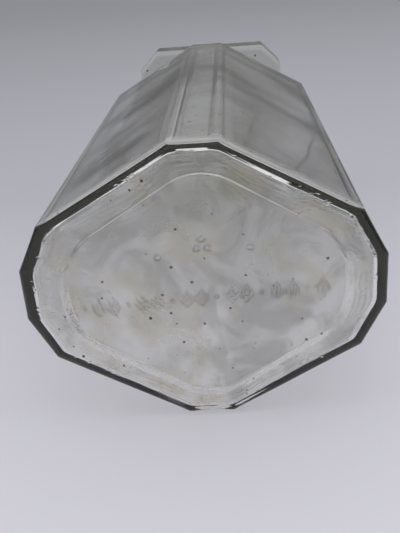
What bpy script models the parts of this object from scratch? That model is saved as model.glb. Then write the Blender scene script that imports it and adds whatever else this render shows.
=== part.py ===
"""Clear glass bottle: a twelve-sided lozenge body with a round neck, and a glass stopper that lifts out.

Units are metres. +Z runs up the bottle's axis, +X along its wide side, and the origin is the centre
of the base, so the bottle stands on z = 0.
"""

import math

import bmesh
import bpy
from mathutils import Vector

# Plan of the body, symmetric about both upright planes.
WIDTH = 0.090  # across the two end facets
DEPTH = 0.074  # across the narrow front and back facets
FRONT_FACET = 0.012  # width of the front and back facets
END_FACET = 0.0132  # width of the two end facets
CORNER_X = 0.039  # corner between a long panel and a slanted end facet
CORNER_Y = 0.0183
FRONT_STEPS = 4  # divisions along each kind of side, so that the plan can turn into a circle
PANEL_STEPS = 8
SLANT_STEPS = 3
END_STEPS = 4

# Heights up the axis.
BODY_TOP = 0.1535  # outer edge of the shoulder
NECK_FOOT = 0.1680
LIP_FOOT = 0.1690
LIP_TOP = 0.1745
FLOOR_TOP = 0.0040  # inside floor

WALL = 0.0022
HEEL = 0.0020  # height of the rounded heel
HEEL_INSET = 0.0020
SHOULDER_INSET = 0.0008
NECK_RADIUS = 0.0190
LIP_RADIUS = 0.0234
BORE_RADIUS = 0.0126  # below the ground seat
MOUTH_RADIUS = 0.0140
SEAT_FOOT = 0.1615  # where the tapered seat for the stopper starts
RECESS_INSET = 0.0066
RECESS_DEPTH = 0.0020
RECESS_SLOPE = 0.0018

# Stopper: a square head with cut corners on a short tapered shank.
HEAD_SIDE = 0.0630
HEAD_CORNER = 0.0080
HEAD_HEIGHT = 0.0160
HEAD_BEVEL = 0.0018
SHANK_LENGTH = 0.0120
SHANK_SEGMENTS = 48
SHANK_OVERLAP = 0.0040  # how far the shank runs up into the head before they are joined
FIT_GAP = 0.0004  # radial gap between shank and seat
REST_GAP = 0.0003  # between the head and the lip

CUT_PAST = 0.0020  # how far a cutter runs past the face that it opens
SMOOTH_ANGLE = math.radians(28)

# Outer surface of the shoulder: height above BODY_TOP, and how far the plan has turned into the neck.
SHOULDER = (
    (0.0020, 0.08),
    (0.0043, 0.28),
    (0.0061, 0.54),
    (0.0077, 0.78),
    (0.0099, 0.93),
    (0.0125, 0.985),
)
# The same for the inside of the shoulder, turning into the bore.
INNER_SHOULDER = (
    (-0.0045, 0.0),
    (-0.0017, 0.10),
    (0.0003, 0.32),
    (0.0017, 0.60),
    (0.0027, 0.84),
    (0.0045, 1.0),
)
# Inside corner between floor and wall: height above the floor, and how far it stands in from the wall.
FLOOR_CORNER = ((0.0, 0.0020), (0.0005, 0.0009), (0.0014, 0.0003), (0.0034, 0.0))

GLASS_COLOUR = (0.78, 0.82, 0.80, 1.0)
STOPPER_COLOUR = (0.80, 0.84, 0.82, 1.0)
GLASS_ROUGHNESS = 0.05
GLASS_IOR = 1.52


def clear_scene():
    for thing in list(bpy.data.objects):
        bpy.data.objects.remove(thing)


def new_collection(name):
    collection = bpy.data.collections.new(name)
    bpy.context.scene.collection.children.link(collection)
    return collection


def glass(name, colour):
    material = bpy.data.materials.new(name)
    material.use_nodes = True
    shader = material.node_tree.nodes["Principled BSDF"]
    shader.inputs["Base Color"].default_value = colour
    shader.inputs["Roughness"].default_value = GLASS_ROUGHNESS
    shader.inputs["Metallic"].default_value = 0.0
    shader.inputs["IOR"].default_value = GLASS_IOR
    shader.inputs["Transmission Weight"].default_value = 1.0
    return material


def add_object(name, mesh_data, collection, material=None):
    """Turns a bmesh into a named object in the collection, with its outward faces checked."""
    bmesh.ops.recalc_face_normals(mesh_data, faces=mesh_data.faces)
    mesh = bpy.data.meshes.new(name)
    mesh_data.to_mesh(mesh)
    mesh_data.free()
    made = bpy.data.objects.new(name, mesh)
    collection.objects.link(made)
    if material:
        mesh.materials.append(material)
    return made


def mark_cutter(cutter):
    cutter.hide_render = True
    cutter.display_type = "WIRE"


def add_boolean(target, other, operation):
    boolean = target.modifiers.new(other.name, "BOOLEAN")
    boolean.object = other
    boolean.operation = operation
    boolean.solver = "EXACT"


def plan_corners():
    """The twelve corners of the body's plan, anticlockwise from the right end of the front facet."""
    quarter = [
        Vector((FRONT_FACET / 2, -DEPTH / 2)),
        Vector((CORNER_X, -CORNER_Y)),
        Vector((WIDTH / 2, -END_FACET / 2)),
    ]
    right = quarter + [Vector((p.x, -p.y)) for p in reversed(quarter)]
    left = [-p for p in right]
    return right + left


def inset_corners(distance):
    """The plan's corners after every side moves inwards by the distance."""
    corners = plan_corners()
    moved = []
    for here, corner in enumerate(corners):
        before = (corner - corners[here - 1]).normalized()
        after = (corners[(here + 1) % len(corners)] - corner).normalized()
        inward = Vector((-before.y - after.y, before.x + after.x)).normalized()
        spread = inward.dot(Vector((-before.y, before.x)))
        moved.append(corner + inward * (distance / spread))
    return moved


def plan_points(distance, softness=0):
    """Points round the inset plan, each side divided. Softness is how often its corners are averaged out."""
    corners = inset_corners(distance)
    half = (PANEL_STEPS, SLANT_STEPS, END_STEPS, SLANT_STEPS, PANEL_STEPS, FRONT_STEPS)
    points = []
    for here, steps in enumerate(half + half):
        start = corners[here]
        end = corners[(here + 1) % len(corners)]
        points += [start.lerp(end, step / steps) for step in range(steps)]
    for _ in range(softness):
        around = zip(points[-1:] + points[:-1], points, points[1:] + points[:1])
        points = [(a + b * 2 + c) / 4 for a, b, c in around]
    return points


def circle_points(radius):
    """Points of a circle in the same directions as those of the plan."""
    return [point.normalized() * radius for point in plan_points(0)]


def blend(first, second, amount):
    return [a.lerp(b, amount) for a, b in zip(first, second)]


def loft(rings):
    """A closed body through rings of equal count, each a height and its points, with flat ends."""
    made = bmesh.new()
    loops = []
    for height, points in rings:
        loops.append([made.verts.new((p.x, p.y, height)) for p in points])
    count = len(loops[0])
    for low, high in zip(loops, loops[1:]):
        for here in range(count):
            after = (here + 1) % count
            made.faces.new((low[here], low[after], high[after], high[here]))
    made.faces.new(list(reversed(loops[0])))
    made.faces.new(loops[-1])
    return made


def outer_rings():
    rings = []
    heel_steps = 4
    for step in range(heel_steps + 1):
        turn = math.radians(90) * step / heel_steps
        inset = HEEL_INSET * (1 - math.sin(turn))
        rings.append((HEEL * (1 - math.cos(turn)), plan_points(inset)))
    rings.append((BODY_TOP - SHOULDER_INSET, plan_points(0)))
    edge = plan_points(SHOULDER_INSET)
    neck = circle_points(NECK_RADIUS)
    rings.append((BODY_TOP, edge))
    rings += [(BODY_TOP + rise, blend(edge, neck, amount)) for rise, amount in SHOULDER]
    rings.append((NECK_FOOT, neck))
    lip_height = LIP_TOP - LIP_FOOT
    for share, bulge in ((0.0, 0.55), (0.2, 0.88), (0.45, 1.0), (0.75, 0.95), (1.0, 0.70)):
        radius = NECK_RADIUS + (LIP_RADIUS - NECK_RADIUS) * bulge
        rings.append((LIP_FOOT + lip_height * share, circle_points(radius)))
    return rings


def cavity_rings():
    softness = 2
    rings = []
    for height, inset in FLOOR_CORNER:
        rings.append((FLOOR_TOP + height, plan_points(WALL + inset, softness)))
    wall = plan_points(WALL, softness)
    bore = circle_points(BORE_RADIUS)
    rings += [(BODY_TOP + rise, blend(wall, bore, amount)) for rise, amount in INNER_SHOULDER]
    rings.append((SEAT_FOOT, bore))
    taper = (MOUTH_RADIUS - BORE_RADIUS) / (LIP_TOP - SEAT_FOOT)
    rings.append((LIP_TOP + CUT_PAST, circle_points(MOUTH_RADIUS + taper * CUT_PAST)))
    return rings


def recess_rings():
    softness = 4
    return [
        (-CUT_PAST, plan_points(RECESS_INSET, softness)),
        (0.0, plan_points(RECESS_INSET, softness)),
        (RECESS_DEPTH, plan_points(RECESS_INSET + RECESS_SLOPE, softness)),
    ]


def build_bottle(parts, cutters):
    bottle = add_object("bottle_body", loft(outer_rings()), parts, glass("bottle_glass", GLASS_COLOUR))
    for name, rings in (("cavity_cutter", cavity_rings()), ("recess_cutter", recess_rings())):
        cutter = add_object(name, loft(rings), cutters)
        mark_cutter(cutter)
        add_boolean(bottle, cutter, "DIFFERENCE")
    bottle.data.shade_smooth()
    bottle.data.set_sharp_from_angle(angle=SMOOTH_ANGLE)


def head_mesh():
    """A square block with its four upright edges cut, then all its top and bottom edges bevelled."""
    made = bmesh.new()
    bmesh.ops.create_cube(made, size=1.0)
    bmesh.ops.scale(made, verts=made.verts, vec=(HEAD_SIDE, HEAD_SIDE, HEAD_HEIGHT))
    upright = [e for e in made.edges if abs(e.verts[0].co.z - e.verts[1].co.z) > HEAD_HEIGHT / 2]
    bmesh.ops.bevel(made, geom=upright, offset=HEAD_CORNER, segments=1, affect="EDGES")
    level = [e for e in made.edges if abs(e.verts[0].co.z - e.verts[1].co.z) < HEAD_HEIGHT / 2]
    bmesh.ops.bevel(made, geom=level, offset=HEAD_BEVEL, segments=2, profile=0.6, affect="EDGES")
    middle = LIP_TOP + REST_GAP + HEAD_HEIGHT / 2
    bmesh.ops.translate(made, verts=made.verts, vec=(0, 0, middle))
    return made


def shank_mesh():
    """A tapered plug that follows the seat in the neck."""
    taper = (MOUTH_RADIUS - BORE_RADIUS) / (LIP_TOP - SEAT_FOOT)
    top = LIP_TOP + REST_GAP + SHANK_OVERLAP
    bottom = LIP_TOP - SHANK_LENGTH
    mouth_fit = MOUTH_RADIUS - FIT_GAP
    made = bmesh.new()
    bmesh.ops.create_cone(
        made,
        cap_ends=True,
        segments=SHANK_SEGMENTS,
        radius1=mouth_fit - taper * SHANK_LENGTH,
        radius2=mouth_fit,
        depth=top - bottom,
    )
    bmesh.ops.translate(made, verts=made.verts, vec=(0, 0, (top + bottom) / 2))
    return made


def build_stopper(parts, cutters):
    material = glass("stopper_glass", STOPPER_COLOUR)
    stopper = add_object("glass_stopper", head_mesh(), parts, material)
    shank = add_object("shank_blank", shank_mesh(), cutters)
    mark_cutter(shank)
    add_boolean(stopper, shank, "UNION")
    stopper.data.shade_smooth()
    stopper.data.set_sharp_from_angle(angle=SMOOTH_ANGLE)


def main():
    clear_scene()
    parts = new_collection("glass_bottle")
    cutters = new_collection("bottle_cutters")
    build_bottle(parts, cutters)
    build_stopper(parts, cutters)


main()
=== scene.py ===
"""Finished look of the clear glass bottle and its stopper, laid on its side with its base to the viewer.

The frame is the bottle's own: +Z runs up its axis from the base, and the floor that it lies on is the
plane that touches its front facet, at the low end of Y.
"""

import math

import bpy
import numpy as np
from mathutils import Matrix, Vector, noise


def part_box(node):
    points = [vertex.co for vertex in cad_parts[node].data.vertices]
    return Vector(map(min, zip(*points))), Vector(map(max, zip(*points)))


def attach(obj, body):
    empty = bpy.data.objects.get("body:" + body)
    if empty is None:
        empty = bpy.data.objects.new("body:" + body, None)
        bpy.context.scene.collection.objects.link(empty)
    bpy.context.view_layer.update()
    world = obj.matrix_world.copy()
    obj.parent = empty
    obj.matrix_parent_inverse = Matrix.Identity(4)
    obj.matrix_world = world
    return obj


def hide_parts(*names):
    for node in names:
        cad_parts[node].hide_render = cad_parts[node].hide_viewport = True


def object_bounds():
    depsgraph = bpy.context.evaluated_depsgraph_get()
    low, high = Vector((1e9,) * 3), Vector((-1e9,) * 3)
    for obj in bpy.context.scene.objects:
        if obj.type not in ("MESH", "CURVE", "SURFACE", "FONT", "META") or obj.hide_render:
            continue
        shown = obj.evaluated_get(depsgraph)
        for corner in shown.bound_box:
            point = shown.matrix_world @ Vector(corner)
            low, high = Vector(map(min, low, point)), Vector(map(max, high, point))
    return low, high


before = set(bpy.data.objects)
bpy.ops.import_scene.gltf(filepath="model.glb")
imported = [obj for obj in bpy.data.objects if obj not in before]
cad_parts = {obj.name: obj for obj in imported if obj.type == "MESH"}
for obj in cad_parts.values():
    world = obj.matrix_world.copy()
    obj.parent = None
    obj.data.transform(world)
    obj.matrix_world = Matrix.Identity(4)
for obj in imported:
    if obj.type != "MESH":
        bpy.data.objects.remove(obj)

MM = 0.001
cad_low, cad_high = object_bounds()
body_low, body_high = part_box("bottle_body")
head_low, head_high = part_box("glass_stopper")

# ---- Sizes of the blown body, in metres -----------------------------------------------------------

WIDTH = body_high.x - body_low.x
DEPTH = body_high.y - body_low.y
LIP_TOP = body_high.z
FRONT_FACET = 12 * MM
END_FACET = 13.2 * MM
CORNER_X = 39 * MM
CORNER_Y = 18.3 * MM
SKIN = 0.18 * MM  # the walls stand in by this much, so that the seam stays inside the body's box
OUTER_ROUNDING = 1.1 * MM

HEEL = 1.8 * MM
HEEL_INSET = 1.9 * MM
HEEL_SHIFT = np.array((0.0, 1.1)) * MM  # the heel is fuller on one side
RECESS_INSET = 6.4 * MM
RECESS_NARROWING = 0.93  # across the wide way
RECESS_SHIFT = np.array((-0.8, -0.9)) * MM
RECESS_DEPTH = 2.3 * MM
RECESS_ROUNDING = 16 * MM
PANEL_SHARE = 0.945  # the panel's own size within the recess, before its sloping edge
PUSH_UP = 0.3 * MM  # how far the middle of the panel stands above its edge

BODY_TOP = 153.5 * MM
EDGE_DROP = 0.8 * MM  # the edge of the shoulder starts to turn this far below the top of the body
EDGE_RADIUS = 1.2 * MM
EDGE_TURN = 75  # degrees
SHOULDER_INSET = 0.9 * MM
NECK_RADIUS = 19.0 * MM
LIP_FOOT = 169.0 * MM
LIP_RADIUS = 23.4 * MM
MOUTH_EDGE = 0.6 * MM  # softened edge of the mouth
MOUTH_RADIUS = 14.0 * MM
SEAT_FOOT = 161.5 * MM
BORE_RADIUS = 12.6 * MM

WALL = 1.7 * MM
INNER_ROUNDING = 9 * MM
CAVITY_NARROWING = 0.98  # the walls are a little thicker at the two ends
CAVITY_SHIFT = np.array((0.0, -1.1)) * MM  # the inside stands off centre, so one wall is thinner
CAVITY_TOP = BODY_TOP - 4.5 * MM  # where the inside starts to close towards the neck
FLOOR_TOP = 3.9 * MM
FLOOR_CORNER = 1.1 * MM

# Rise in mm and share of the way from the body's plan to the neck, or to the bore.
SHOULDER = ((2.0, 0.08), (4.3, 0.28), (6.1, 0.54), (7.7, 0.78), (9.9, 0.93), (12.5, 0.985), (14.5, 1.0))
INNER_SHOULDER = ((-4.5, 0.0), (-1.7, 0.10), (0.3, 0.32), (1.7, 0.60), (2.7, 0.84), (4.5, 1.0))

# ---- Sizes of the stopper -------------------------------------------------------------------------

HEAD_CUT = 8 * MM
HEAD_BEVEL = 1.8 * MM
HEAD_SOFTNESS = 0.5 * MM  # how far the bevel's two edges are eased
HEAD_ROUNDING = 1.4 * MM
HEAD_GAP = 0.3 * MM  # between the lip and the underside of the head
SHANK_RADIUS = 13.55 * MM  # where the shank meets the head

# ---- How finely the skins are divided -------------------------------------------------------------

ARC_STEPS = 4  # round each corner of an outline
BODY_STEPS = (27, 13, 24, 13, 27, 14) * 2  # along each side, from the first corner on
HEAD_STEPS = (8, 20) * 4
PANEL_ROWS = 100  # close enough to carry the raised marks
SLOPE_ROWS = 9
RING_ROWS = 22
HEEL_ROWS = 10
WALL_ROWS = 30
EDGE_ROWS = 6
SHOULDER_ROWS = 4  # for each step of the shoulder
LIP_ROWS = 14
SEAT_ROWS = 12
INSIDE_ROWS = 40
CORNER_ROWS = 9
FLOOR_ROWS = 36


def smooth_step(low, high, value):
    share = min(1.0, max(0.0, (value - low) / (high - low)))
    return share * share * (3 - 2 * share)


def mix(first, second, share):
    return first * (1 - share) + second * share


# ---- Plans ----------------------------------------------------------------------------------------


def plan_corners():
    """The twelve corners of the plan, anticlockwise from the right end of the front facet."""
    quarter = [
        Vector((FRONT_FACET / 2, -DEPTH / 2)),
        Vector((CORNER_X, -CORNER_Y)),
        Vector((WIDTH / 2, -END_FACET / 2)),
    ]
    right = quarter + [Vector((p.x, -p.y)) for p in reversed(quarter)]
    return right + [-p for p in right]


def head_corners():
    """The eight corners of the stopper's head, a square with its corners cut."""
    half = (head_high.x - head_low.x) / 2
    side = half - HEAD_CUT
    right = [Vector((side, -half)), Vector((half, -side)), Vector((half, side)), Vector((side, half))]
    return right + [-p for p in right]


def inset_corners(corners, distance):
    """The corners after every side moves inwards by the distance."""
    moved = []
    for here, corner in enumerate(corners):
        before = (corner - corners[here - 1]).normalized()
        after = (corners[(here + 1) % len(corners)] - corner).normalized()
        inward = Vector((-before.y - after.y, before.x + after.x)).normalized()
        spread = inward.dot(Vector((-before.y, before.x)))
        moved.append(corner + inward * (distance / spread))
    return moved


def outline(shape, side_steps, distance, rounding):
    """Points round a shape at a distance inside it, with its corners rounded to the radius."""
    corners = inset_corners(shape, distance)
    count = len(corners)
    arcs = []
    for here, corner in enumerate(corners):
        back = corners[here - 1] - corner
        ahead = corners[(here + 1) % count] - corner
        half_turn = (math.pi - back.angle(ahead)) / 2
        reach = min(rounding * math.tan(half_turn), 0.48 * back.length, 0.48 * ahead.length)
        start = corner + back.normalized() * reach
        end = corner + ahead.normalized() * reach
        shares = [step / ARC_STEPS for step in range(ARC_STEPS + 1)]
        arcs.append([start.lerp(corner, share).lerp(corner.lerp(end, share), share) for share in shares])
    points = []
    for here, steps in enumerate(side_steps):
        points += arcs[here]
        start = arcs[here][-1]
        end = arcs[(here + 1) % count][0]
        points += [start.lerp(end, step / steps) for step in range(1, steps)]
    return np.array([tuple(p) for p in points])


def body_plan(distance, rounding):
    return outline(plan_corners(), BODY_STEPS, distance, rounding)


def recess_plan():
    return body_plan(RECESS_INSET, RECESS_ROUNDING) * np.array((RECESS_NARROWING, 1.0)) + RECESS_SHIFT


def cavity_plan(distance):
    return body_plan(distance, INNER_ROUNDING) * np.array((CAVITY_NARROWING, 1.0)) + CAVITY_SHIFT


def head_plan(distance):
    return outline(head_corners(), HEAD_STEPS, distance, HEAD_ROUNDING)


BODY_OUTLINE = body_plan(0, 1 * MM)
HEAD_OUTLINE = outline(head_corners(), HEAD_STEPS, 0, 1 * MM)


def circle_like(points, radius):
    """A circle whose points lie in the same directions as those of an outline."""
    return points / np.linalg.norm(points, axis=1)[:, None] * radius


def circle(radius):
    return circle_like(BODY_OUTLINE, radius)


def head_circle(radius):
    return circle_like(HEAD_OUTLINE, radius)


# ---- Rows of the body, from the middle of the base out, up, over the lip and down inside -----------


def panel_height(share):
    """Height of the recessed panel, a shallow push-up. The share runs from its middle to its edge."""
    return RECESS_DEPTH + PUSH_UP * (1 - share ** 2)


def base_rows():
    rows = []
    recess = recess_plan()
    for step in range(1, PANEL_ROWS + 1):
        share = step / PANEL_ROWS
        rows.append(("panel", panel_height(share), recess * PANEL_SHARE * share))
    for step in range(1, SLOPE_ROWS + 1):
        share = step / SLOPE_ROWS
        lift = 1 - smooth_step(0, 1, share)
        rows.append(("ring", RECESS_DEPTH * lift, recess * mix(PANEL_SHARE, 1.0, share)))
    ring_end = body_plan(HEEL_INSET + SKIN, OUTER_ROUNDING) + HEEL_SHIFT
    for step in range(1, RING_ROWS + 1):
        rows.append(("ring", 0.0, mix(recess, ring_end, step / RING_ROWS)))
    for step in range(1, HEEL_ROWS + 1):
        turn = math.radians(90) * step / HEEL_ROWS
        share = 1 - math.sin(turn)
        around = body_plan(HEEL_INSET * share + SKIN, OUTER_ROUNDING) + HEEL_SHIFT * share
        rows.append(("wall", HEEL * (1 - math.cos(turn)), around))
    return rows


def shoulder_rows(kind, table, first, last):
    """Rows along a rounded line through a table of rises and shares, from one outline to the other."""
    spots = np.array(table)
    along = np.linspace(0, len(spots) - 1, len(spots) * SHOULDER_ROWS)
    even = np.ones(SHOULDER_ROWS) / SHOULDER_ROWS
    columns = []
    for column in (0, 1):
        values = np.interp(along, range(len(spots)), spots[:, column])
        columns.append(np.convolve(np.pad(values, SHOULDER_ROWS // 2, mode="edge"), even, "valid"))
    return [(kind, BODY_TOP + rise * MM, mix(first, last, share)) for rise, share in zip(*columns)]


def wall_rows():
    wall = body_plan(SKIN, OUTER_ROUNDING)
    wall_top = BODY_TOP - EDGE_DROP
    rows = [("wall", mix(HEEL, wall_top, step / WALL_ROWS), wall) for step in range(1, WALL_ROWS)]
    for step in range(EDGE_ROWS + 1):
        turn = math.radians(EDGE_TURN) * step / EDGE_ROWS
        inset = SKIN + EDGE_RADIUS * (1 - math.cos(turn))
        rows.append(("wall", wall_top + EDGE_RADIUS * math.sin(turn), body_plan(inset, OUTER_ROUNDING)))
    edge = body_plan(SKIN + SHOULDER_INSET, OUTER_ROUNDING)
    return rows + shoulder_rows("shoulder", SHOULDER, edge, circle(NECK_RADIUS))


def lip_rows():
    """Over the round lip, across its flat top, over the edge of the mouth and down the ground seat."""
    rows = []
    half = (LIP_TOP - LIP_FOOT) / 2
    for step in range(LIP_ROWS + 1):
        turn = math.radians(-80 + 170 * step / LIP_ROWS)
        radius = LIP_RADIUS - half * (1 - max(0.0, math.cos(turn)))
        rows.append(("lip", LIP_FOOT + half + half * math.sin(turn), circle(max(radius, NECK_RADIUS))))
    for share in (0.3, 0.6, 0.9):
        rows.append(("lip", LIP_TOP, circle(mix(LIP_RADIUS - half, MOUTH_RADIUS + MOUTH_EDGE, share))))
    rows.append(("bore", LIP_TOP - MOUTH_EDGE / 4, circle(MOUTH_RADIUS + MOUTH_EDGE / 3)))
    seat_top = LIP_TOP - MOUTH_EDGE
    for step in range(SEAT_ROWS + 1):
        share = step / SEAT_ROWS
        kind = "seat" if step else "bore"
        rows.append((kind, mix(seat_top, SEAT_FOOT, share), circle(mix(MOUTH_RADIUS, BORE_RADIUS, share))))
    return rows


def cavity_rows():
    wall = cavity_plan(WALL)
    rows = list(reversed(shoulder_rows("inside", INNER_SHOULDER, wall, circle(BORE_RADIUS))))
    wall_foot = FLOOR_TOP + FLOOR_CORNER
    for step in range(1, INSIDE_ROWS + 1):
        rows.append(("inside", mix(CAVITY_TOP, wall_foot, step / INSIDE_ROWS), wall))
    for step in range(1, CORNER_ROWS + 1):
        turn = math.radians(90) * step / CORNER_ROWS
        inset = WALL + FLOOR_CORNER * (1 - math.cos(turn))
        rows.append(("inside", wall_foot - FLOOR_CORNER * math.sin(turn), cavity_plan(inset)))
    floor = cavity_plan(WALL + FLOOR_CORNER)
    return rows + [("floor", FLOOR_TOP, floor * (1 - step / FLOOR_ROWS)) for step in range(1, FLOOR_ROWS)]


def stopper_rows():
    """Rows from the tip of the shank, up its side, out under the head and over its edge to the top."""
    tip = head_low.z
    under = LIP_TOP + HEAD_GAP
    top = head_high.z
    taper = (MOUTH_RADIUS - BORE_RADIUS) / (LIP_TOP - SEAT_FOOT)
    tip_radius = SHANK_RADIUS - taper * (under - tip)
    rows = [("head", tip, head_circle(tip_radius * share)) for share in (0.25, 0.5, 0.75, 0.92)]
    rows.append(("seat", tip + 0.5 * MM, head_circle(tip_radius)))
    for share in (0.25, 0.5, 0.75, 1.0):
        height = tip + (under - 0.4 * MM - tip) * share
        rows.append(("seat", height, head_circle(mix(tip_radius, SHANK_RADIUS, share))))
    inner = head_plan(HEAD_BEVEL)
    for share in (0.0, 0.2, 0.4, 0.6, 0.8, 0.97):
        rows.append(("head", under, mix(head_circle(SHANK_RADIUS), inner, share)))
    bevel = (
        (HEAD_BEVEL, 0.0),
        (HEAD_BEVEL - HEAD_SOFTNESS, HEAD_SOFTNESS / 2),
        (HEAD_SOFTNESS, HEAD_BEVEL - HEAD_SOFTNESS),
        (0.0, HEAD_BEVEL + HEAD_SOFTNESS),
    )
    rows += [("head", under + rise, head_plan(inset)) for inset, rise in bevel]
    rows += [("head", mix(under, top, share), head_plan(0)) for share in (0.25, 0.5, 0.75)]
    rows += [("head", top - rise, head_plan(inset)) for inset, rise in reversed(bevel)]
    return rows + [("head", top, inner * share) for share in (0.97, 0.8, 0.6, 0.4, 0.2)]


# ---- Unevenness of hand-worked glass --------------------------------------------------------------

SEAM_X = -4.9 * MM  # the mould's joint runs up beside the edge of the two narrow facets
SEAM_HEIGHT = 0.17 * MM
SEAM_WIDTH = 0.32 * MM

MARK_COUNT = 17  # lozenges and dots in the row across the base
MARK_PITCH = 3.7 * MM
MARK_START = -31 * MM
MARK_ROW = -3.6 * MM
MARK_TILT = -0.06  # the row was cut slightly askew
LOZENGE_ACROSS = 1.7 * MM
LOZENGE_TALL = 1.9 * MM
LOZENGE_LINE = 0.36 * MM  # half the width of its line
DOT_RADIUS = 0.45 * MM
LARGE_DOTS = ((-0.4, 12.2), (-1.7, 9.8), (0.9, 9.8), (-12.0, 9.5), (10.5, 8.0))
LARGE_DOT_RADIUS = 0.75 * MM
MARK_RELIEF = 0.6 * MM
MARK_SIDE = 0.26 * MM  # width of a mark's sloping side
# How far to either side of a mark's edge the painted shade reaches.
EDGE_SHADE_REACH = 0.4 * MM

RIPPLE_PITCH = 1.3 * MM


def swell(x, y, z, size, seed):
    """Smooth unevenness between -1 and 1 with features about as wide as the size."""
    return noise.noise(Vector((x / size + seed, y / size - seed * 1.7, z / size + seed * 0.6)))


def lozenge(x, y, across, tall):
    """How far inside a small upright lozenge a point lies, as a length."""
    return (1 - abs(x) / across - abs(y) / tall) * min(across, tall)


def mark_depth(x, y):
    """How far inside a raised mark a point of the base lies: a row of lozenges and dots, and larger dots."""
    inside = -1.0
    along = (x - MARK_START) / MARK_PITCH
    index = math.floor(along)
    if 0 <= index < MARK_COUNT:
        local_x = (along - index - 0.5) * MARK_PITCH
        local_y = y - (MARK_ROW + MARK_TILT * x)
        inside = DOT_RADIUS - math.hypot(local_x, local_y)
        if index % 3 != 1:
            edge = abs(lozenge(local_x, local_y, LOZENGE_ACROSS, LOZENGE_TALL))
            inside = max(inside, LOZENGE_LINE - edge)
    for dot_x, dot_y in LARGE_DOTS:
        inside = max(inside, LARGE_DOT_RADIUS - math.hypot(x - dot_x * MM, y - dot_y * MM))
    return inside


def edge_shade_at(kind, x, y):
    """Painted shade along the edges of the raised marks, from 0 to 1."""
    return max(0.0, 1 - abs(mark_depth(x, y)) / EDGE_SHADE_REACH) if kind == "panel" else 0.0


def ripple(x, y, z, inset):
    """Fine chill lines that run round the base beside its edge."""
    wander = swell(x, y, z, 14 * MM, 3.1) * 2.6
    strength = (0.5 + 0.5 * swell(x, y, z, 9 * MM, 8.4)) * smooth_step(15 * MM, 10 * MM, inset)
    return strength * math.sin(2 * math.pi * inset / RIPPLE_PITCH + wander)


def shape_point(kind, x, y, z, inset):
    """Moves a point of the ideal shape to where the worked glass has it."""
    if kind == "panel":
        z += 0.10 * MM * swell(x, y, 0, 11 * MM, 1.3)
        z -= MARK_RELIEF * smooth_step(0, MARK_SIDE, mark_depth(x, y))
        z += 0.03 * MM * ripple(x, y, 0, inset)
    elif kind == "ring":
        z += 0.09 * MM * (1 + ripple(x, y, 0, inset)) + 0.09 * MM * (1 + swell(x, y, 0, 3.1 * MM, 7.7))
    elif kind in ("wall", "shoulder"):
        give = 0.06 * MM * (1 + swell(x, y, z, 24 * MM, 5.2))
        beside = abs(x - SEAM_X * (1 if y > 0 else -1))
        if abs(x) < FRONT_FACET and z > HEEL:
            give -= SEAM_HEIGHT * math.exp(-((beside / SEAM_WIDTH) ** 2))
        reach = math.hypot(x, y)
        x, y = x * (1 - give / reach), y * (1 - give / reach)
    elif kind == "inside":
        push = 0.24 * MM * swell(x, y, z, 34 * MM, 2.2) + 0.05 * MM * swell(x, y, z, 12 * MM, 6.6)
        push *= smooth_step(BODY_TOP + 4 * MM, BODY_TOP - 8 * MM, z)  # the bore stays round
        reach = math.hypot(x, y)
        x, y = x * (1 + push / reach), y * (1 + push / reach)
        z += 0.4 * MM * swell(x, y, 0, 16 * MM, 9.1) * smooth_step(16 * MM, 9 * MM, z)
    elif kind == "floor":
        z += 1.1 * MM * swell(x, y, 0, 17 * MM, 9.1) + 0.3 * MM * swell(x, y, 0, 8 * MM, 4.7)
    return x, y, z


FINISHES = {  # how far each kind of row is ground, clouded and worn
    "ground": {"seat": 1.0},
    "clouded": {"inside": 0.25, "floor": 1.0},
    "worn": {"ring": 1.0},
}


def add_attribute(mesh, name, values):
    mesh.attributes.new(name, "FLOAT", "POINT").data.foreach_set("value", values)


def skin_mesh(name, rows, edge, low_tip, high_tip):
    """One closed skin through the rows, with a point at each end.

    Its attributes say where the glass is ground, clouded or worn, and where shade is painted along the marks.
    """
    count = len(edge)
    edge_reach = np.linalg.norm(edge, axis=1)
    points = [low_tip]
    for kind, height, around in rows:
        for (x, y), reach in zip(around, edge_reach):
            points.append(shape_point(kind, x, y, height, reach - math.hypot(x, y)))
    points.append(high_tip)
    faces = []
    last = 1 + (len(rows) - 1) * count
    for here in range(count):
        after = (here + 1) % count
        faces.append((0, 1 + after, 1 + here))
        faces.append((len(points) - 1, last + here, last + after))
        for low in range(1, last, count):
            faces.append((low + here, low + after, low + count + after, low + count + here))
    mesh = bpy.data.meshes.new(name)
    mesh.from_pydata(points, [], faces)
    mesh.shade_smooth()
    for attribute, kinds in FINISHES.items():
        marks = [kinds.get(row[0], 0.0) for row in rows for _ in range(count)]
        add_attribute(mesh, attribute, [marks[0]] + marks + [marks[-1]])
    # Where shade is painted along the edges of the marks.
    shaded_edges = [edge_shade_at(kind, x, y) for kind, _, around in rows for x, y in around]
    add_attribute(mesh, "painted_edge_shade", [0.0] + shaded_edges + [0.0])
    return mesh


# ---- Materials ------------------------------------------------------------------------------------


def linear(hex_colour):
    """sRGB hex to linear light, with full alpha."""
    values = [int(hex_colour[i : i + 2], 16) / 255 for i in (1, 3, 5)]
    return [v / 12.92 if v <= 0.04045 else ((v + 0.055) / 1.055) ** 2.4 for v in values] + [1.0]


def add_node(tree, kind, settings=None, values=None, links=None):
    """Adds a node: settings are its properties, values its sockets, links its sockets fed by others."""
    node = tree.nodes.new(kind)
    for key, value in (settings or {}).items():
        setattr(node, key, value)
    for key, value in (values or {}).items():
        node.inputs[key].default_value = value
    for key, source in (links or {}).items():
        tree.links.new(source, node.inputs[key])
    return node


def new_material(name):
    material = bpy.data.materials.new(name)
    material.use_nodes = True
    material.node_tree.nodes.clear()
    return material, material.node_tree


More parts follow.
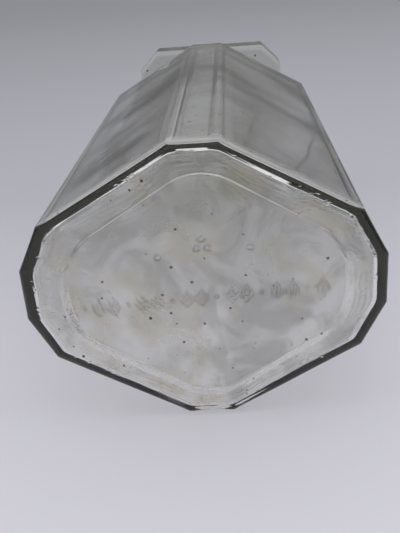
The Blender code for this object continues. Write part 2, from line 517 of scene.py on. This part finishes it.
def add_relief(tree, place, ground, worn):
    """Small relief of the glass, as a normal: the mould's skin, the grinding and the scuffs of the ring."""
    # The mould's skin: faint waves about 4 mm apart.
    peel = add_node(
        tree, "ShaderNodeTexNoise", values={"Scale": 1 / (3.85 * MM), "Detail": 3.0}, links={"Vector": place}
    )
    peel_bump = add_node(
        tree,
        "ShaderNodeBump",
        values={"Strength": 0.05, "Distance": 0.0002},
        links={"Height": peel.outputs["Fac"]},
    )
    # Grinding with fine grit, drawn as coarse as half a millimetre so that it shows.
    grit = add_node(
        tree, "ShaderNodeTexNoise", values={"Scale": 1 / (0.556 * MM), "Detail": 2.0}, links={"Vector": place}
    )
    grit_height = add_node(
        tree, "ShaderNodeMath", {"operation": "MULTIPLY"}, links={0: grit.outputs["Fac"], 1: ground}
    )
    grit_bump = add_node(
        tree,
        "ShaderNodeBump",
        values={"Strength": 0.4, "Distance": 0.0002},
        links={"Height": grit_height.outputs["Value"], "Normal": peel_bump.outputs["Normal"]},
    )
    # Sliding has scuffed the ring round the base: marks of about 0.5 by 1.5 mm, thick in some places.
    slid = add_node(tree, "ShaderNodeMapping", values={"Scale": (0.35, 1.0, 1.0)}, links={"Vector": place})
    scuff = add_node(
        tree,
        "ShaderNodeTexNoise",
        values={"Scale": 1 / (1.0 * MM), "Detail": 2.0},
        links={"Vector": slid.outputs["Vector"]},
    )
    scuffed = add_node(
        tree,
        "ShaderNodeMapRange",
        values={"From Min": 0.56, "From Max": 0.66, "To Min": 0.0, "To Max": 0.3},
        links={"Value": scuff.outputs["Fac"]},
    )
    rub = add_node(
        tree, "ShaderNodeTexNoise", values={"Scale": 1 / (11.1 * MM), "Detail": 1.0}, links={"Vector": place}
    )
    rubbed = add_node(
        tree,
        "ShaderNodeMapRange",
        values={"From Min": 0.42, "From Max": 0.62, "To Min": 0.0, "To Max": 1.0},
        links={"Value": rub.outputs["Fac"]},
    )
    rubbed_ring = add_node(
        tree, "ShaderNodeMath", {"operation": "MULTIPLY"}, links={0: rubbed.outputs["Result"], 1: worn}
    )
    scuff_height = add_node(
        tree,
        "ShaderNodeMath",
        {"operation": "MULTIPLY"},
        links={0: scuffed.outputs["Result"], 1: rubbed_ring.outputs["Value"]},
    )
    scuff_bump = add_node(
        tree,
        "ShaderNodeBump",
        values={"Strength": 0.6, "Distance": 0.0006},
        links={"Height": scuff_height.outputs["Value"], "Normal": grit_bump.outputs["Normal"]},
    )
    return scuff_bump.outputs["Normal"]


def add_bloom(tree, place, ground, clouded):
    """Roughness: clear outside, an uneven bloom inside in patches of about 18 mm, and rough where ground."""
    patch = add_node(
        tree,
        "ShaderNodeTexNoise",
        values={"Scale": 1 / (18.2 * MM), "Detail": 4.0, "Distortion": 0.6},
        links={"Vector": place},
    )
    bloom = add_node(
        tree,
        "ShaderNodeMapRange",
        values={"From Min": 0.42, "From Max": 0.72, "To Min": 0.17, "To Max": 0.34},
        links={"Value": patch.outputs["Fac"]},
    )
    clear_or_clouded = add_node(
        tree, "ShaderNodeMix", values={"A": 0.02}, links={"Factor": clouded, "B": bloom.outputs["Result"]}
    )
    roughness = add_node(
        tree,
        "ShaderNodeMix",
        values={"B": 0.45},
        links={"Factor": ground, "A": clear_or_clouded.outputs["Result"]},
    )
    return roughness.outputs["Result"]


def add_dirt_and_edge_shade(tree, place, clouded, painted_edge_shade):
    """Colour: clear, with haze and rust-coloured stain inside, painted shade along the edges of the marks,
    and dark pits.
    """
    haze = add_node(
        tree,
        "ShaderNodeTexNoise",
        values={"Scale": 1 / (13.3 * MM), "Detail": 3.0, "Distortion": 1.2},
        links={"Vector": place},
    )
    hazed = add_node(
        tree,
        "ShaderNodeMapRange",
        values={"From Min": 0.42, "From Max": 0.58, "To Min": 1.0, "To Max": 0.0},
        links={"Value": haze.outputs["Fac"]},
    )
    haze_inside = add_node(
        tree, "ShaderNodeMath", {"operation": "MULTIPLY"}, links={0: hazed.outputs["Result"], 1: clouded}
    )
    haze_colour = add_node(
        tree,
        "ShaderNodeMix",
        {"data_type": "RGBA"},
        values={6: linear("#fefefd"), 7: linear("#c6c4c0")},
        links={0: haze_inside.outputs["Value"]},
    )
    stain = add_node(
        tree, "ShaderNodeTexNoise", values={"Scale": 1 / (10.5 * MM), "Detail": 3.0}, links={"Vector": place}
    )
    stained = add_node(
        tree,
        "ShaderNodeMapRange",
        values={"From Min": 0.52, "From Max": 0.68, "To Min": 0.0, "To Max": 0.8},
        links={"Value": stain.outputs["Fac"]},
    )
    stain_inside = add_node(
        tree, "ShaderNodeMath", {"operation": "MULTIPLY"}, links={0: stained.outputs["Result"], 1: clouded}
    )
    stain_colour = add_node(
        tree,
        "ShaderNodeMix",
        {"data_type": "RGBA"},
        values={7: linear("#ebe3c6")},
        links={0: stain_inside.outputs["Value"], 6: haze_colour.outputs[2]},
    )
    # Painted shade: a grey line along the edges of the raised marks.
    edge_shade_colour = add_node(
        tree,
        "ShaderNodeMix",
        {"data_type": "RGBA"},
        values={7: linear("#aaa8a2")},
        links={0: painted_edge_shade, 6: stain_colour.outputs[2]},
    )
    # Grit and pits up to 0.7 mm across, one to every square of 12 mm or so. Each has its own size.
    pits = add_node(tree, "ShaderNodeTexVoronoi", values={"Scale": 1 / (4.55 * MM)}, links={"Vector": place})
    pit_reach = add_node(
        tree,
        "ShaderNodeMath",
        {"operation": "MULTIPLY_ADD"},
        values={1: 0.07},
        links={0: pits.outputs["Color"], 2: pits.outputs["Distance"]},
    )
    pit = add_node(
        tree,
        "ShaderNodeMapRange",
        values={"From Min": 0.095, "From Max": 0.125, "To Min": 1.0, "To Max": 0.0},
        links={"Value": pit_reach.outputs["Value"]},
    )
    colour = add_node(
        tree,
        "ShaderNodeMix",
        {"data_type": "RGBA"},
        values={7: linear("#2b2723")},
        links={0: pit.outputs["Result"], 6: edge_shade_colour.outputs[2]},
    )
    return colour.outputs[2]


def soda_lime_glass():
    """Old bottle glass, blown in a mould.

    Iron in the sand gives it a grey-green cast that only shows through a long way of glass. The inside has a
    faint uneven bloom from water and time, and the ring it stands on is scuffed. The stopper's shank and its
    seat are ground with fine grit, so they scatter the light.
    """
    material, tree = new_material("soda_lime_glass")
    place = add_node(tree, "ShaderNodeTexCoord").outputs["Object"]
    ground = add_node(tree, "ShaderNodeAttribute", {"attribute_name": "ground"}).outputs["Fac"]
    clouded = add_node(tree, "ShaderNodeAttribute", {"attribute_name": "clouded"}).outputs["Fac"]
    worn = add_node(tree, "ShaderNodeAttribute", {"attribute_name": "worn"}).outputs["Fac"]
    painted_edge_shade = add_node(tree, "ShaderNodeAttribute", {"attribute_name": "painted_edge_shade"}).outputs["Fac"]
    shader = add_node(
        tree,
        "ShaderNodeBsdfPrincipled",
        values={"IOR": 1.52, "Transmission Weight": 1.0},
        links={
            "Base Color": add_dirt_and_edge_shade(tree, place, clouded, painted_edge_shade),
            "Normal": add_relief(tree, place, ground, worn),
            "Roughness": add_bloom(tree, place, ground, clouded),
        },
    )
    iron_cast = add_node(
        tree, "ShaderNodeVolumeAbsorption", values={"Color": linear("#b6b9a3"), "Density": 30.0}
    )
    add_node(
        tree,
        "ShaderNodeOutputMaterial",
        links={"Surface": shader.outputs["BSDF"], "Volume": iron_cast.outputs["Volume"]},
    )
    return material


def paper_with_painted_falloff():
    """Matt pale paper with painted shade: it greys with distance, as the window's light falls off. Its
    underside is clear, and hides nothing from below.
    """
    material, tree = new_material("paper_with_painted_falloff")
    place = add_node(tree, "ShaderNodeTexCoord").outputs["Object"]
    split = add_node(tree, "ShaderNodeSeparateXYZ", links={0: place})
    away = add_node(
        tree,
        "ShaderNodeMapRange",
        values={"From Min": -0.1, "From Max": 1.2, "To Min": 0.0, "To Max": 1.0},
        links={"Value": split.outputs["Z"]},
    )
    ramp = add_node(tree, "ShaderNodeValToRGB", links={"Fac": away.outputs["Result"]})
    # Painted shade: the paper's tone darkens with distance, where the window's light falls off.
    painted_falloff_tones = ((0.0, "#d9d8e0"), (0.1, "#cfced6"), (0.22, "#b6b6bd"), (0.42, "#b1b1b8"), (1.0, "#a6a7ac"))
    while len(ramp.color_ramp.elements) < len(painted_falloff_tones):
        ramp.color_ramp.elements.new(0.5)
    for element, (spot, tone) in zip(ramp.color_ramp.elements, painted_falloff_tones):
        element.position = spot
        element.color = linear(tone)
    paper = add_node(
        tree,
        "ShaderNodeBsdfPrincipled",
        values={"Roughness": 0.75},
        links={"Base Color": ramp.outputs["Color"]},
    )
    clear = add_node(tree, "ShaderNodeBsdfTransparent")
    side = add_node(tree, "ShaderNodeNewGeometry")
    both = add_node(
        tree,
        "ShaderNodeMixShader",
        links={0: side.outputs["Backfacing"], 1: paper.outputs[0], 2: clear.outputs[0]},
    )
    add_node(tree, "ShaderNodeOutputMaterial", links={"Surface": both.outputs[0]})
    return material


# ---- Pieces ---------------------------------------------------------------------------------------


def place_piece(name, mesh, body, material, replaced):
    piece = bpy.data.objects.new(name, mesh)
    bpy.context.scene.collection.objects.link(piece)
    mesh.materials.append(material)
    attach(piece, body)
    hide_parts(replaced)


def make_bottle(glass):
    rows = base_rows() + wall_rows() + lip_rows() + cavity_rows()
    mesh = skin_mesh("bottle_skin", rows, BODY_OUTLINE, (0, 0, panel_height(0)), (0, 0, FLOOR_TOP))
    place_piece("bottle_of_clear_glass", mesh, "bottle", glass, "bottle_body")


def make_stopper(glass):
    mesh = skin_mesh("stopper_skin", stopper_rows(), HEAD_OUTLINE, (0, 0, head_low.z), (0, 0, head_high.z))
    place_piece("stopper_of_clear_glass", mesh, "stopper", glass, "glass_stopper")


# ---- Floor, light and camera ----------------------------------------------------------------------

ROOM_UP = Vector((0, 1, 0))  # the bottle lies down, so the room's up is the frame's +Y
ROOM_RIGHT = Vector((-1, 0, 0))
ROOM_AWAY = Vector((0, 0, 1))

FLOOR_GAP = 0.15 * MM
FLOOR_SIDE, FLOOR_NEAR, FLOOR_FAR = 3.0, -1.2, 4.0

WINDOW_PLACE = ROOM_RIGHT * 0.2 + ROOM_UP * 0.75 + ROOM_AWAY * -0.3
WINDOW_SIZE = (1.1, 0.9)
MIDDLE_OF_BOTTLE = Vector((0, 0, 0.08))

CAMERA_PLACE = Vector((-0.00977, 0.07851, -0.15676))
CAMERA_FORWARD = Vector((0.0579, -0.4183, 0.9064)).normalized()
CAMERA_RIGHT = Vector((-0.997, -0.0707, 0.0311))
CAMERA_LENS = 48.77  # mm, on a sensor 36 mm wide

LIGHT_BOUNCES = 28  # light crosses many walls of glass


def make_floor():
    mesh = bpy.data.meshes.new("floor")
    level = cad_low.y - FLOOR_GAP
    corners = [
        (FLOOR_SIDE, level, FLOOR_NEAR),
        (-FLOOR_SIDE, level, FLOOR_NEAR),
        (-FLOOR_SIDE, level, FLOOR_FAR),
        (FLOOR_SIDE, level, FLOOR_FAR),
    ]
    mesh.from_pydata(corners, [], [(0, 1, 2, 3)])
    if mesh.polygons[0].normal.y < 0:
        mesh.flip_normals()
    mesh.materials.append(paper_with_painted_falloff())
    floor = bpy.data.objects.new("paper_floor", mesh)
    bpy.context.scene.collection.objects.link(floor)


def add_window(name, watts, shadow):
    data = bpy.data.lights.new(name, "AREA")
    data.shape = "RECTANGLE"
    data.size, data.size_y = WINDOW_SIZE
    data.energy = watts
    data.use_shadow = shadow
    lamp = bpy.data.objects.new(name, data)
    lamp.location = WINDOW_PLACE
    lamp.rotation_mode = "QUATERNION"
    lamp.rotation_quaternion = (MIDDLE_OF_BOTTLE - WINDOW_PLACE).to_track_quat("-Z", "Y")
    bpy.context.scene.collection.objects.link(lamp)


def make_world():
    """A soft room, light above and dim low down and behind the viewer. What shows past the floor is plain."""
    world = bpy.data.worlds.new("soft_room")
    bpy.context.scene.world = world
    world.use_nodes = True
    tree = world.node_tree
    tree.nodes.clear()
    way = add_node(tree, "ShaderNodeTexCoord").outputs["Generated"]
    split = add_node(tree, "ShaderNodeSeparateXYZ", links={0: way})
    height = add_node(
        tree,
        "ShaderNodeMapRange",
        {"interpolation_type": "SMOOTHSTEP"},
        values={"From Min": 0.0, "From Max": 0.6, "To Min": 0.2, "To Max": 0.82},
        links={"Value": split.outputs["Y"]},
    )
    depth = add_node(
        tree,
        "ShaderNodeMapRange",
        {"interpolation_type": "SMOOTHSTEP"},
        values={"From Min": -0.55, "From Max": 0.0, "To Min": 0.35, "To Max": 1.0},
        links={"Value": split.outputs["Z"]},
    )
    light = add_node(
        tree,
        "ShaderNodeMath",
        {"operation": "MULTIPLY"},
        links={0: height.outputs["Result"], 1: depth.outputs["Result"]},
    )
    room = add_node(
        tree,
        "ShaderNodeBackground",
        values={"Color": linear("#fbfbff")},
        links={"Strength": light.outputs["Value"]},
    )
    plain = add_node(tree, "ShaderNodeBackground", values={"Color": linear("#b4b5bb"), "Strength": 1.0})
    ray = add_node(tree, "ShaderNodeLightPath")
    both = add_node(
        tree,
        "ShaderNodeMixShader",
        links={0: ray.outputs["Is Camera Ray"], 1: room.outputs[0], 2: plain.outputs[0]},
    )
    add_node(tree, "ShaderNodeOutputWorld", links={"Surface": both.outputs[0]})


def make_camera():
    data = bpy.data.cameras.new("camera")
    data.sensor_width = 36
    data.lens = CAMERA_LENS
    data.clip_start = 0.005
    data.clip_end = 20
    camera = bpy.data.objects.new("camera", data)
    bpy.context.scene.collection.objects.link(camera)
    right = (CAMERA_RIGHT - CAMERA_FORWARD * CAMERA_RIGHT.dot(CAMERA_FORWARD)).normalized()
    up = right.cross(CAMERA_FORWARD)
    turn = Matrix((right, up, -CAMERA_FORWARD)).transposed()
    camera.matrix_world = Matrix.Translation(CAMERA_PLACE) @ turn.to_4x4()
    bpy.context.scene.camera = camera


def main():
    glass = soda_lime_glass()
    make_bottle(glass)
    make_stopper(glass)
    make_floor()
    make_world()
    # Most of the window's light goes past the glass, which hardly darkens the paper round it.
    add_window("window_light", 1.4, True)
    add_window("window_light_past_glass", 4.1, False)
    make_camera()
    bpy.context.scene.view_settings.view_transform = "Standard"
    for kind in ("max_bounces", "transmission_bounces", "glossy_bounces", "transparent_max_bounces"):
        setattr(bpy.context.scene.cycles, kind, LIGHT_BOUNCES)


main()
